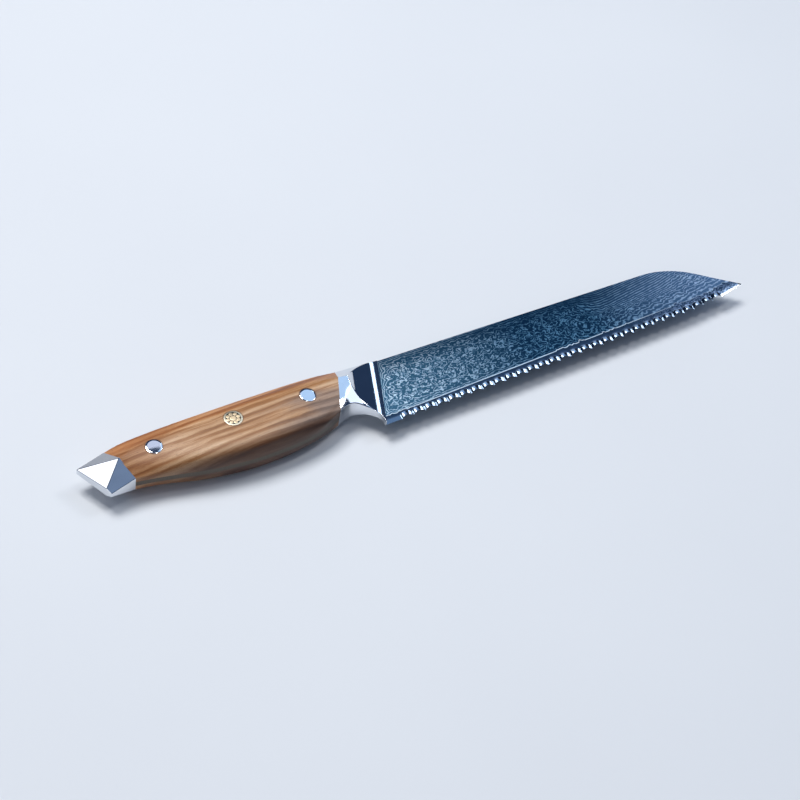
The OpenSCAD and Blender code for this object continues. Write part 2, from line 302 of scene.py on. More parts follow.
def wood_scale(name, side, stations=150):
    """One wooden scale: a loft of rounded sections outside the tang, bored for the three pins."""
    rings = []
    for f in np.linspace(0, 1, stations):
        half = handle_half(f)
        half = half[half[:, 1] > TANG_T / 2]
        top, bottom = [half[0, 0], TANG_T / 2], [half[-1, 0], TANG_T / 2]
        ring = stood(np.vstack([top, half, bottom]), JOINT_X - f * SCALE_LEN, curve(SLANT_LINE, f))
        rings.append(ring * (1, 1, side))
    piece = loft(name, rings)
    for at, r in ((PIN_FRONT_AT, PIN_R), (PIN_REAR_AT, PIN_R), (PIN_MOSAIC_AT, MOSAIC_R)):
        cut_away(piece, cylinder("bore", at, r))
    return piece


def wood_heights(x, y):
    """Half thickness of the handle over each of several points."""
    return np.array([handle_z(a, b) for a, b in zip(x, y)])


def fitted_plane(at, r, sides):
    """Plane through the handle's surface around a pin: its height at the centre and its two tilts."""
    x, y = circle(at, r, sides)
    rim = wood_heights(x, y)
    return rim.mean(), 2 * (rim * (x - at[0])).mean() / r ** 2, 2 * (rim * (y - at[1])).mean() / r ** 2


def plug(name, at, r, inner=0, proud=MOSAIC_PROUD, sides=64, chamfer=0.12, flat=0, steps=5, dot=0.01):
    """Pin or tube through the handle. Its ends follow the wood or are ground partly flat, and are eased."""
    middle, tilt_x, tilt_y = fitted_plane(at, r, sides)
    radii = [(inner + dot, 0)]
    radii += [(inner + (r - chamfer - inner) * k / steps, 0) for k in range(1, steps + 1)]
    radii.append((r, -chamfer / 2))
    if inner:
        radii.insert(0, (inner, -2 * proud))
    surface = []
    for radius, lift in radii:
        x, y = circle(at, radius, sides)
        wood_z = wood_heights(x, y)
        plane_z = middle + tilt_x * (x - at[0]) + tilt_y * (y - at[1])
        surface.append(np.column_stack([x, y, wood_z + flat * (plane_z - wood_z) + proud + lift]))
    surface = np.array(surface)
    rings = list(surface) + list(surface[::-1] * (1, 1, -1))
    if inner:
        return closed_loop(name, rings)
    return loft(name, rings)


def closed_loop(name, rings):
    """Solid whose rings close on themselves, such as a tube."""
    rings = np.asarray(rings)
    count, around = rings.shape[:2]
    mesh = bpy.data.meshes.new(name)
    mesh.from_pydata(placed(rings).reshape(-1, 3).tolist(), [], side_faces(count, around, count))
    finished(mesh)
    return link(name, mesh)


def joined(name, pieces):
    """One piece out of several."""
    with bpy.context.temp_override(active_object=pieces[0], selected_editable_objects=pieces):
        bpy.ops.object.join()
    pieces[0].name = name
    pieces[0].data.name = name
    return pieces[0]


def rod_places():
    """Centres of the mosaic pin's small rods."""
    return list(zip(*circle(PIN_MOSAIC_AT, ROD_ROOM - ROD_R, MOSAIC_RODS)))


def mosaic_rods(sides=24):
    rods = [plug("rod", at, ROD_R, sides=sides, chamfer=0.06) for at in rod_places()]
    return joined("mosaic_small_rods", rods)


def mosaic_resin(sides=24, centre_sides=64):
    """Black resin between the mosaic pin's rods, a touch below them."""
    piece = plug("mosaic_fill", PIN_MOSAIC_AT, MOSAIC_R - MOSAIC_WALL, proud=RESIN_PROUD, chamfer=0.02)
    cut_away(piece, cylinder("bore", PIN_MOSAIC_AT, CENTRE_ROD_R, centre_sides))
    for at in rod_places():
        cut_away(piece, cylinder("bore", at, ROD_R, sides))
    return piece


# --- Bolster and cap ---
def crossing(a, b, level, first=0.004, last=0.98):
    """Where the line from a to b reaches a half thickness, kept between their heights."""
    t = min(max((level - a[1]) / (b[1] - a[1]), first), last)
    height, half = a + (b - a) * t
    return np.array([height, min(half, level)])


def bolster_ring(f, steps=6, gap=0.01):
    """The bolster's full section at a station, with both scoops taken out and its creases eased."""
    spine = np.array([curve(BOLSTER_SPINE, f), curve(BOLSTER_SPINE_T, f)])
    ridge = np.array([curve(BOLSTER_RIDGE, f), HANDLE_HALF_T * RIDGE_PART[0][1]])
    belly = np.array([curve(NOTCH_LINE, f), curve(BOLSTER_BELLY_T, f)])
    off_front = (1 - f) * BOLSTER_LEN / math.hypot(1, BOLSTER_SLANT)
    scoop = BOLSTER_LIP + SCOOP_R - math.sqrt(SCOOP_R ** 2 - off_front ** 2)
    level = min(scoop, ridge[1])
    spine[1], belly[1] = min(spine[1], level - gap), min(belly[1], level - gap)
    upper, lower = crossing(ridge, spine, level), crossing(ridge, belly, level)
    corners = [np.array([spine[0], 0.0]), spine, upper, lower, belly, np.array([belly[0], 0.0])]
    half = np.array(half_outline(corners, [BOLSTER_EASE] * 4, steps, (3, 6, 16, 8)))
    whole = np.vstack([half, half[::-1] * (1, -1)])
    return stood(whole, JOINT_X + f * BOLSTER_LEN, BOLSTER_SLANT)


def bolster(stations=110):
    return loft("bolster_polished", [bolster_ring(f) for f in np.linspace(0, 1, stations)])


def butt_cap(least_angle=12, sharp=8):
    """Faceted butt cap with eased edges."""
    front = [[SPINE_LINE[-1][1], SPINE_HALF_T[-1][1]],
             [RIDGE_LINE[-1][1], HANDLE_HALF_T * RIDGE_PART[-1][1]],
             [BELLY_LINE[-1][1], BELLY_HALF_T[-1][1]]]
    side = np.vstack([stood(front, CAP_X, CAP_SLANT), stood(CAP_END, BUTT_X, CAP_SLANT)])
    facets = [[0, 3, 1], [1, 3, 4], [1, 4, 5], [1, 5, 2]]
    faces = [[0, 1, 2, 8, 7, 6], [3, 9, 10, 11, 5, 4], [0, 6, 9, 3], [2, 5, 11, 8]] + facets
    faces += [[t[0] + 6, t[2] + 6, t[1] + 6] for t in facets]
    work = bmesh.new()
    points = [work.verts.new(p) for p in placed(np.vstack([side, side * (1, 1, -1)]))]
    for face in faces:
        work.faces.new([points[i] for i in face])
    bmesh.ops.recalc_face_normals(work, faces=work.faces)
    joint = {points[i] for i in (0, 1, 2, 8, 7, 6)}
    least = math.radians(least_angle)
    edges = [e for e in work.edges if not set(e.verts) <= joint and e.calc_face_angle() > least]
    bmesh.ops.bevel(work, geom=edges, offset=CAP_EASE * MM, segments=4, profile=0.5, affect="EDGES",
                    clamp_overlap=True)
    mesh = bpy.data.meshes.new("butt_cap_polished")
    work.to_mesh(mesh)
    work.free()
    finished(mesh, sharp)
    return link("butt_cap_polished", mesh)


# --- Blade ---
EDGE_X, EDGE_Y = np.array([[q[0] * BLADE_LEN, q[1]] for q in EDGE_LINE]).T
EDGE_TURN = np.arctan2(np.diff(EDGE_Y), np.diff(EDGE_X))
PITCH = (BLADE_LEN - PLAIN_HEEL - PLAIN_TIP) / TEETH
SCALLOP_DEPTH = TOOTH_DEPTH * math.sin(GRIND_ANGLE)
SCALLOP_R = (((PITCH - TOOTH_LAND) / 2) ** 2 / SCALLOP_DEPTH + SCALLOP_DEPTH) / 2
SPINE_X = BOLSTER_SLANT * HEEL_H
SHOULDER_X = BLADE_LEN - (SHOULDER_H - TIP_Y) / math.tan(CLIP_ANGLE)
SPINE_ANGLE = math.atan2(HEEL_H - SHOULDER_H, SHOULDER_X - SPINE_X)

# The forge line's usual height above the edge, as [distance from the heel, height], its waves as
# [length, size], how far apart in phase they start, how lively they are, with livelier places added as
# [distance from the heel, spread, how much], and the lowest place the line may reach.
FORGE_LINE = [[0, 2.9], [45, 3.0], [90, 4.0], [190, 4.2], [200, 3.6]]
FORGE_WAVES = [[31, 0.5], [13.7, 0.35], [6.1, 0.34], [3.3, 0.3], [1.9, 0.16]]
FORGE_PHASE = 2.1
FORGE_LIVELY = 0.495
FORGE_LIVELIER = [[112, 18, 0.63], [168, 22, 0.54]]
FORGE_LOWEST = 3.1


def half_t(y):
    """Half thickness of the forged wedge at a height."""
    return (EDGE_T + (BLADE_T - EDGE_T) * np.clip(y / HEEL_H, 0, 1)) / 2


def top_y(x):
    """Height of the spine, the rounded shoulder and the clip."""
    run = CLIP_R * math.tan((CLIP_ANGLE - SPINE_ANGLE) / 2)
    arc_x = SHOULDER_X - run * math.cos(SPINE_ANGLE) - CLIP_R * math.sin(SPINE_ANGLE)
    arc_y = SHOULDER_H + run * math.sin(SPINE_ANGLE) - CLIP_R * math.cos(SPINE_ANGLE)
    spine = HEEL_H - (x - SPINE_X) * math.tan(SPINE_ANGLE)
    clip = TIP_Y + (BLADE_LEN - x) * math.tan(CLIP_ANGLE)
    arc = arc_y + np.sqrt(np.maximum(CLIP_R ** 2 - (x - arc_x) ** 2, 0))
    on_spine = x < arc_x + CLIP_R * math.sin(SPINE_ANGLE)
    on_clip = x > arc_x + CLIP_R * math.sin(CLIP_ANGLE)
    return np.where(on_spine, spine, np.where(on_clip, clip, arc))


def ground_z(x, y):
    """Right surface left by the plain grinds and the scallops, before it meets the blade's flat side."""
    planes = [(-(x - ex) * math.sin(a) + (y - ey) * math.cos(a)) * math.tan(GRIND_ANGLE)
              for ex, ey, a in zip(EDGE_X, EDGE_Y, EDGE_TURN)]
    tooth = np.clip(np.floor((x - PLAIN_HEEL) / PITCH), 0, TEETH - 1)
    at = PLAIN_HEEL + (tooth + 0.5) * PITCH
    turn = EDGE_TURN[np.clip(np.searchsorted(EDGE_X, at) - 1, 0, len(EDGE_TURN) - 1)]
    dx, dy = x - at, y - np.interp(at, EDGE_X, EDGE_Y)
    u = np.clip(dx * np.cos(turn) + dy * np.sin(turn), -SCALLOP_R, SCALLOP_R)
    up = -dx * np.sin(turn) + dy * np.cos(turn)
    hollow = SCALLOP_R - SCALLOP_DEPTH - np.sqrt(SCALLOP_R ** 2 - u ** 2)
    scallop = (hollow + up * math.sin(GRIND_ANGLE)) / math.cos(GRIND_ANGLE)
    scallop += ((up - SCALLOP_DEEPEST) ** 2 - (SCALLOP_DEEPEST + TOOTH_DEPTH) ** 2) / (2 * SCALLOP_SAG_R)
    return -EDGE_T / 2 + np.minimum(np.min(planes, axis=0), scallop)


def solved(test, low, high, rounds=40):
    """Height where a rising test changes sign, for each column."""
    for _ in range(rounds):
        middle = (low + high) / 2
        above = test(middle) > 0
        high = np.where(above, middle, high)
        low = np.where(above, low, middle)
    return (low + high) / 2


class Columns:
    """The blade's columns: slanted like the bolster at the heel, upright towards the tip."""

    def __init__(self, per_tooth=20, margin=0.2, point=0.02, lean_run=40, below=-4.0):
        step = PITCH / per_tooth
        first = math.ceil(-PLAIN_HEEL / step + margin)
        last = math.floor((BLADE_LEN - PLAIN_HEEL) / step - margin)
        stations = PLAIN_HEEL + step * np.arange(first, last + 1)
        self.s = np.concatenate([[0], stations, [BLADE_LEN - point]])
        self.lean = BOLSTER_SLANT * np.clip(1 - self.s / lean_run, 0, 1) ** 2
        self.top = self.settle(top_y)
        lowest = np.full(len(self.s), below)
        self.edge = solved(lambda y: ground_z(self.x(y), y) + half_t(y), lowest, self.top)
        crease = solved(lambda y: ground_z(self.x(y), y) - half_t(y), self.edge, self.top)
        self.crease = np.minimum(crease, self.top)

    def x(self, y):
        return self.s + self.lean * y

    def settle(self, height):
        """Height of a curve over each column, found by following the column's lean."""
        y = height(self.s)
        for _ in range(8):
            y = height(self.x(y))
        return y

    def forge_line(self, shift, above_grind=0.12):
        """Wandering line where the core comes out from under a cladding, always above the grind."""
        x = self.s
        lively = np.full(len(x), FORGE_LIVELY)
        for at, spread, more in FORGE_LIVELIER:
            lively += more * np.exp(-((x - at) / spread) ** 2)
        wave = np.zeros(len(x))
        for i, (length, size) in enumerate(FORGE_WAVES):
            wave += size * np.sin(2 * math.pi * x / length + shift + FORGE_PHASE * i)
        base = np.interp(x, EDGE_X, EDGE_Y) + np.interp(x, *np.transpose(FORGE_LINE))
        line = np.maximum(base + lively * (1 + wave), self.crease + above_grind)
        return np.minimum(np.maximum(line, FORGE_LOWEST), self.top)


def blade_core(columns, right, left):
    """Hard core: its band between edge and claddings shows on both sides, with the scallops on the right."""
    spots = []
    for t in np.linspace(0, 1, 11):
        y = columns.edge + (columns.crease - columns.edge) * t
        spots.append((y, np.minimum(ground_z(columns.x(y), y), half_t(y))))
    for t in (0.5, 1):
        y = columns.crease + (right - columns.crease) * t
        spots.append((y, half_t(y)))
    inner = np.minimum(CORE_T / 2, half_t(right))
    spots += [(right, inner), (columns.top, np.minimum(inner, half_t(columns.top)))]
    inner = np.minimum(CORE_T / 2, half_t(left))
    spots += [(columns.top, -np.minimum(inner, half_t(columns.top))), (left, -inner)]
    for t in (1, 0.6, 0.3, 0.1, 0.02):
        y = columns.edge + (left - columns.edge) * t
        spots.append((y, -half_t(y)))
    rings = np.stack([np.column_stack([columns.x(y), y, z]) for y, z in spots], axis=1)
    return loft("blade_core_ground", rings)


def cladding(name, columns, line, side, thinnest=0.03):
    """Patterned cladding from the forge line to the spine, with the height above that line stored."""
    keep = columns.top - line > thinnest
    keep[np.argmin(keep)] = True
    s, lean, top, line = columns.s[keep], columns.lean[keep], columns.top[keep], line[keep]
    heights = [line, np.minimum(line + 0.15, top), np.minimum(line + 0.4, top)]
    heights += [line + (top - line) * t for t in (0.15, 0.3, 0.45, 0.6, 0.75, 0.9)]
    heights.append(top - np.minimum(SPINE_EASE, (top - line) / 3))
    heights = list(np.maximum.accumulate(heights, axis=0))
    spots = [(y, half_t(y)) for y in heights]
    spots.append((top, half_t(top) - SPINE_EASE))
    spots += [(top, np.zeros(len(s))), (line, np.zeros(len(s)))]
    spots = [(y, side * np.maximum(z, CORE_T / 2)) for y, z in spots]
    rings = np.stack([np.column_stack([s + lean * y, y, z]) for y, z in spots], axis=1)
    rim = np.stack([y - line for y, _ in spots], axis=1)
    return loft(name, rings, rim)


# --- Materials ---
def linear(red, green, blue):
    """A colour given as 0 to 255 screen values, in the shader's linear units."""
    screen = [c / 255 for c in (red, green, blue)]
    return tuple(((c + 0.055) / 1.055) ** 2.4 if c > 0.04 else c / 12.92 for c in screen) + (1,)


class Material:
    """A node material and short calls for the nodes that it is made of."""

    def __init__(self, name):
        self.material = bpy.data.materials.new(name)
        self.material.use_nodes = True
        self.tree = self.material.node_tree
        self.surface = self.tree.nodes["Principled BSDF"]
        about_heel = self.add("ShaderNodeVectorMath", operation="SUBTRACT")
        self.put(about_heel, 0, self.add("ShaderNodeTexCoord").outputs["Object"])
        self.put(about_heel, 1, tuple(HEEL))
        scaled = self.add("ShaderNodeVectorMath", operation="SCALE")
        self.put(scaled, 0, about_heel.outputs[0])
        self.put(scaled, "Scale", 1 / MM)
        self.mm = scaled.outputs[0]

    def add(self, kind, **settings):
        node = self.tree.nodes.new(kind)
        for name, value in settings.items():
            setattr(node, name, value)
        return node

    def put(self, node, socket, value):
        if isinstance(value, bpy.types.NodeSocket):
            self.tree.links.new(value, node.inputs[socket])
        else:
            node.inputs[socket].default_value = value

    def math(self, operation, *values):
        node = self.add("ShaderNodeMath", operation=operation)
        for i, value in enumerate(values):
            self.put(node, i, value)
        return node.outputs[0]

    def axes(self):
        """The place in millimetres about the heel, as x, y and z."""
        node = self.add("ShaderNodeSeparateXYZ")
        self.put(node, 0, self.mm)
        return node.outputs[0], node.outputs[1], node.outputs[2]

    def vector(self, x, y, z):
        node = self.add("ShaderNodeCombineXYZ")
        for i, value in enumerate((x, y, z)):
            self.put(node, i, value)
        return node.outputs[0]

    def stretched(self, x, y, z):
        """The place, scaled by its own factor along each axis."""
        node = self.add("ShaderNodeVectorMath", operation="MULTIPLY")
        self.put(node, 0, self.mm)
        self.put(node, 1, (x, y, z))
        return node.outputs[0]

    def noise(self, place, scale=1, detail=2, roughness=0.5, distortion=0):
        node = self.add("ShaderNodeTexNoise")
        self.put(node, "Vector", place)
        self.put(node, "Scale", scale)
        self.put(node, "Detail", detail)
        self.put(node, "Roughness", roughness)
        self.put(node, "Distortion", distortion)
        return node.outputs["Fac"]

    def span(self, value, low, high, to_low=0, to_high=1, smooth=True):
        """The value's way from low to high, turned into the way from to_low to to_high."""
        node = self.add("ShaderNodeMapRange", interpolation_type="SMOOTHSTEP" if smooth else "LINEAR")
        sockets = ("Value", "From Min", "From Max", "To Min", "To Max")
        for socket, v in zip(sockets, (value, low, high, to_low, to_high)):
            self.put(node, socket, v)
        return node.outputs[0]

    def ramp(self, value, positions, colours):
        """Colour ramp over the value, with each colour as screen values at its position."""
        node = self.add("ShaderNodeValToRGB")
        self.put(node, 0, value)
        elements = node.color_ramp.elements
        while len(elements) < len(positions):
            elements.new(0.5)
        for element, position, colour in zip(elements, positions, colours):
            element.position = position
            element.color = linear(*colour)
        return node.outputs[0]

    def tinted(self, amount, colour, tint):
        """The colour, multiplied by a tint as far as the amount says."""
        return self.mix(amount, colour, self.mix(1.0, colour, tint, "MULTIPLY"))

    def mix(self, amount, a, b, blend="MIX"):
        node = self.add("ShaderNodeMix", data_type="RGBA", blend_type=blend)
        self.put(node, 0, amount)
        self.put(node, 6, a)
        self.put(node, 7, b)
        return node.outputs[2]

    def rim(self):
        """The height above the forge line that a cladding's mesh stores."""
        return self.add("ShaderNodeAttribute", attribute_name="rim").outputs["Fac"]

    def bump(self, height, strength, depth):
        """Relief of a depth in millimetres."""
        node = self.add("ShaderNodeBump")
        self.put(node, "Height", height)
        self.put(node, "Strength", strength)
        self.put(node, "Distance", depth * MM)
        self.put(self.surface, "Normal", node.outputs[0])

    def set(self, **sockets):
        """Sets or links the shader's own sockets, and gives back the material."""
        for name, value in sockets.items():
            self.put(self.surface, name.replace("_", " "), value)
        return self.material


def layer_lines(m, x, y, from_spine):
    """Etched layers as lines from 0 to 1: parallel by the borders, swirls between, straighter by the tip."""
    from_bolster = m.math("SUBTRACT", x, m.math("MULTIPLY", y, BOLSTER_SLANT))
    border = m.math("MINIMUM", m.math("MINIMUM", m.rim(), from_bolster), m.math("MAXIMUM", from_spine, 0))
    inside = m.math("SUBTRACT", 1, m.math("EXPONENT", m.math("MULTIPLY", border, -0.3)))
    straight = m.math("MULTIPLY", m.span(x, 112, 130), m.span(x, 178, 160))
    straight = m.math("MULTIPLY", straight, m.span(from_spine, 15, 9))
    calm = m.math("SUBTRACT", 1, m.math("MULTIPLY", straight, 0.8))
    calm = m.math("MULTIPLY", m.span(x, 105, 160, 1, 0.55), calm)
    flow = m.stretched(0.8, 1, 0.3)
    large = m.math("MULTIPLY", m.noise(flow, 0.32, 0, 0.5, 0.4), 3)
    small = m.math("MULTIPLY", m.noise(flow, 0.7, 0, 0.5, 0.6), 2.4)
    swirl = m.math("MULTIPLY", m.math("ADD", large, small), calm)
    swirl = m.math("MULTIPLY", swirl, m.math("ADD", m.math("MULTIPLY", inside, 0.85), 0.15))
    layers = m.math("ADD", swirl, m.math("MULTIPLY", inside, m.span(x, 104, 134, 2.2, 0.7)))
    rising = m.math("SUBTRACT", m.math("MULTIPLY", x, 0.13), m.math("ADD", y, 1.5))
    layers = m.math("ADD", layers, m.math("MULTIPLY", rising, m.span(x, 104, 134, 0.05, 0.75)))
    wave = m.math("SINE", m.math("MULTIPLY", layers, 2 * math.pi))
    line = m.math("ADD", m.math("MULTIPLY", wave, 0.5), 0.5)
    worn = m.noise(m.stretched(0.9, 0.9, 0.9), 0.5, 3)
    return m.math("MULTIPLY", line, m.span(worn, 0.3, 0.7, 0.75, 1.1))


def patterned_steel():
    """Etched layered steel: pale lines on dark blue-grey, with painted light making it lighter by the heel
    and by the tip, and painted shade towards the spine.
    """
    m = Material("patterned_steel")
    x, y, _ = m.axes()
    fall = m.math("MULTIPLY", x, math.tan(SPINE_ANGLE))
    from_spine = m.math("SUBTRACT", HEEL_H, m.math("ADD", y, fall))
    line = layer_lines(m, x, y, from_spine)
    etch = (0.3, 0.65, 0.95)
    # Painted light: the heel and tip colours are lighter copies of the middle's, standing in for reflections
    # that brighten those ends.
    heel = m.ramp(line, etch, [(76, 118, 140), (124, 164, 186), (232, 248, 252)])
    middle = m.ramp(line, etch, [(18, 48, 72), (36, 74, 100), (98, 140, 166)])
    tip = m.ramp(line, etch, [(96, 126, 158), (132, 158, 188), (192, 210, 230)])
    colour = m.mix(m.span(x, -5, 82, smooth=False), heel, middle)
    colour = m.mix(m.span(x, 120, 194, smooth=False), colour, tip)
    # Painted shade: darker towards the spine, less so towards the tip.
    shade = m.math("MULTIPLY", m.span(from_spine, 12, 0), m.span(x, 110, 170, 0.6, 0.1))
    colour = m.mix(shade, colour, linear(12, 42, 66))
    rim_line = m.span(m.math("ABSOLUTE", m.math("SUBTRACT", m.rim(), 0.22)), 0.1, 0.3, 1, 0)
    rim_line = m.math("MULTIPLY", rim_line, m.span(x, 118, 165, 1, 0.3))
    colour = m.mix(rim_line, colour, linear(232, 244, 250))
    roughness = m.math("ADD", m.math("MULTIPLY", line, 0.05), 0.33)
    m.bump(line, 0.35, 0.04)
    return m.set(Base_Color=colour, Metallic=1.0, Roughness=roughness)


def core_steel():
    """Hard steel of the edge: a dark etched band, mottled by the tip, and polished bright in the scallops."""
    m = Material("core_steel")
    x, _, z = m.axes()
    marks = m.noise(m.stretched(3.0, 0.35, 1.0), 1.0, 3, 0.6)
    cloud = m.noise(m.stretched(0.35, 0.6, 0.5), 0.8, 3)
    plain_tip = m.span(x, BLADE_LEN - PLAIN_TIP - 1, BLADE_LEN - PLAIN_TIP)
    upper = m.span(plain_tip, 0, 1, 0.2, -0.14, smooth=False)
    bright = m.span(m.math("SUBTRACT", z, upper), 0, 0.1, 1, 0)
    etched = m.mix(cloud, linear(30, 46, 66), linear(58, 78, 102))
    mottle = m.noise(m.stretched(0.8, 1.2, 0.5), 1.6, 2)
    mottle = m.math("MULTIPLY", m.span(mottle, 0.42, 0.62), m.span(x, 128, 172))
    etched = m.mix(mottle, etched, linear(118, 138, 166))
    ground = m.mix(plain_tip, linear(110, 126, 144), linear(230, 236, 240))
    polish = m.math("SUBTRACT", 0.3, m.math("MULTIPLY", bright, 0.23))
    roughness = m.math("ADD", m.math("MULTIPLY", marks, 0.06), polish)
    m.bump(marks, 0.03, 0.02)
    return m.set(Base_Color=m.mix(bright, etched, ground), Metallic=1.0, Roughness=roughness)


def polished_steel():
    """Mirror steel with faint buffing marks and smears."""
    m = Material("polished_steel")
    marks = m.noise(m.stretched(2.2, 0.25, 1.2), 1.2, 4, 0.6)
    smear = m.noise(m.stretched(0.25, 0.3, 0.3), 0.7, 3)
    colour = m.mix(smear, linear(214, 218, 224), linear(232, 235, 240))
    roughness = m.math("ADD", m.math("MULTIPLY", marks, 0.04), m.math("MULTIPLY", smear, 0.08))
    m.bump(marks, 0.04, 0.01)
    return m.set(Base_Color=colour, Metallic=1.0, Roughness=roughness)


def tang_steel():
    """Ground edge of the tang, with grinding lines across it."""
    m = Material("tang_steel")
    lines = m.noise(m.stretched(4.0, 0.4, 0.4), 1.0, 4, 0.65)
    colour = m.mix(lines, linear(78, 72, 66), linear(116, 108, 98))
    m.bump(lines, 0.3, 0.02)
    roughness = m.math("ADD", m.math("MULTIPLY", lines, 0.2), 0.35)
    return m.set(Base_Color=colour, Metallic=1.0, Roughness=roughness)


def pin_shade_ring(m, x, y):
    """How close a point is to a pin's rim, from 0 away from it to 1 at it, as the mask of the painted shade
    around the pins.
    """
    closest = 0.0
    for (px, py), r in ((PIN_FRONT_AT, PIN_R), (PIN_MOSAIC_AT, MOSAIC_R), (PIN_REAR_AT, PIN_R)):
        away = m.add("ShaderNodeVectorMath", operation="DISTANCE")
        m.put(away, 0, m.vector(x, y, 0.0))
        m.put(away, 1, (px, py, 0.0))
        closest = m.math("MAXIMUM", closest, m.span(away.outputs["Value"], r + 0.1, r + 0.7, 1, 0))
    return closest


def grain(m, x, y, z):
    """Long grain as its tone from dark to light, and the fine fibre in it."""
    drift = m.noise(m.stretched(0.018, 0.06, 0.06), 1.0, 3, 0.5)
    bend = m.math("MULTIPLY", m.math("SUBTRACT", drift, 0.5), 6)
    across = m.math("ADD", m.math("ADD", y, m.math("MULTIPLY", z, 0.45)), bend)
    place = [m.math("MULTIPLY", x, 0.02), m.math("MULTIPLY", across, 0.42), m.math("MULTIPLY", z, 0.12)]
    streaks = m.noise(m.vector(*place), 1.0, 5, 0.62, 0.3)
    rings = m.math("ADD", m.math("MULTIPLY", across, 1.9), m.math("MULTIPLY", streaks, 6))
    rings = m.math("ADD", m.math("MULTIPLY", m.math("SINE", rings), 0.5), 0.5)
    place = [m.math("MULTIPLY", x, 0.12), m.math("MULTIPLY", across, 3.2), m.math("MULTIPLY", z, 3.0)]
    fibre = m.noise(m.vector(*place), 1.0, 4, 0.7)
    tone = m.math("ADD", m.math("MULTIPLY", streaks, 0.7), m.math("MULTIPLY", rings, 0.12))
    return m.math("ADD", tone, m.math("MULTIPLY", fibre, 0.22)), fibre


def wood():
    """Oiled wood with long streaky grain: greyer by the bolster, golden by the cap, with painted shade along
    the belly and around the pins.
    """
    m = Material("oiled_wood")
    x, y, z = m.axes()
    tone, fibre = grain(m, x, y, z)
    golden = m.ramp(tone, (0.3, 0.46, 0.6, 0.78),
                    [(110, 70, 36), (158, 108, 62), (196, 155, 115), (224, 193, 160)])
    greyish = m.ramp(tone, (0.3, 0.48, 0.7), [(84, 64, 54), (132, 106, 88), (178, 150, 130)])
    patches = m.noise(m.stretched(0.03, 0.12, 0.1), 1.0, 2)
    patches = m.span(m.math("ADD", patches, m.math("MULTIPLY", y, -0.012)), 0.15, 0.42)
    colour = m.mix(m.math("MULTIPLY", m.span(x, -62, -22), patches), golden, greyish)
    by_spine = m.math("MULTIPLY", m.span(y, 27, 31), 0.55)
    colour = m.tinted(by_spine, colour, linear(248, 200, 140))
    by_cap = m.math("MULTIPLY", m.span(x, -84, -108), 0.5)
    colour = m.tinted(by_cap, colour, linear(214, 172, 118))
    # Painted shade: darker towards the belly and its lower faces, which turn away from the light.
    height = m.math("ADD", y, m.math("MULTIPLY", m.math("ABSOLUTE", z), 0.55))
    colour = m.tinted(m.math("MULTIPLY", m.span(height, 20, 10), 0.9), colour, linear(104, 72, 48))
    pores = m.noise(m.stretched(0.5, 5.0, 5.0), 1.0, 2, 0.5)
    colour = m.mix(m.span(pores, 0.62, 0.72, 0, 0.5), colour, linear(70, 38, 20))
    # Painted shade: a dark ring in the wood around each pin, where the gap at the pin falls in shade.
    colour = m.mix(m.math("MULTIPLY", pin_shade_ring(m, x, y), 0.45), colour, linear(58, 34, 20))
    m.bump(m.math("SUBTRACT", fibre, m.span(pores, 0.6, 0.72)), 0.25, 0.05)
    roughness = m.math("ADD", m.math("MULTIPLY", fibre, 0.2), 0.36)
    return m.set(Base_Color=colour, Roughness=roughness, Coat_Weight=0.1, Coat_Roughness=0.3)


def soft_metal(name, dark, light):
    """Polished soft metal with a little tarnish."""
    m = Material(name)
    tarnish = m.noise(m.stretched(1.4, 1.4, 1.4), 1.0, 4, 0.6)
    m.bump(tarnish, 0.15, 0.02)
    roughness = m.math("ADD", m.math("MULTIPLY", tarnish, 0.2), 0.3)
    return m.set(Base_Color=m.mix(tarnish, dark, light), Metallic=1.0, Roughness=roughness)


def resin():
    """Black epoxy with a little dust in it."""
    m = Material("black_resin")
    dust = m.noise(m.stretched(3.0, 3.0, 3.0), 1.0, 3)
    colour = m.mix(dust, linear(14, 13, 12), linear(46, 42, 38))
    roughness = m.math("ADD", m.math("MULTIPLY", dust, 0.3), 0.25)
    return m.set(Base_Color=colour, Roughness=roughness)


def pale_floor():
    """Plain pale studio floor with a trace of unevenness."""
    m = Material("pale_floor")
    cloud = m.noise(m.stretched(0.004, 0.004, 0.004), 1.0, 3)
    return m.set(Base_Color=m.mix(cloud, linear(214, 217, 221), linear(222, 225, 228)), Roughness=0.7)


def paint(obj, material):
    obj.data.materials.clear()
    obj.data.materials.append(material)


# --- Studio ---
# The camera looks from the front left and above, rolled a little, with a long lens.
CAMERA_AZIMUTH = 220.63
CAMERA_ELEVATION = 47.26
CAMERA_DISTANCE = 0.8267
CAMERA_AIM = Vector((-0.0175, -0.0006, 0))
CAMERA_ROLL = 11.24
CAMERA_LENS = 85
CAMERA_SENSOR = 36

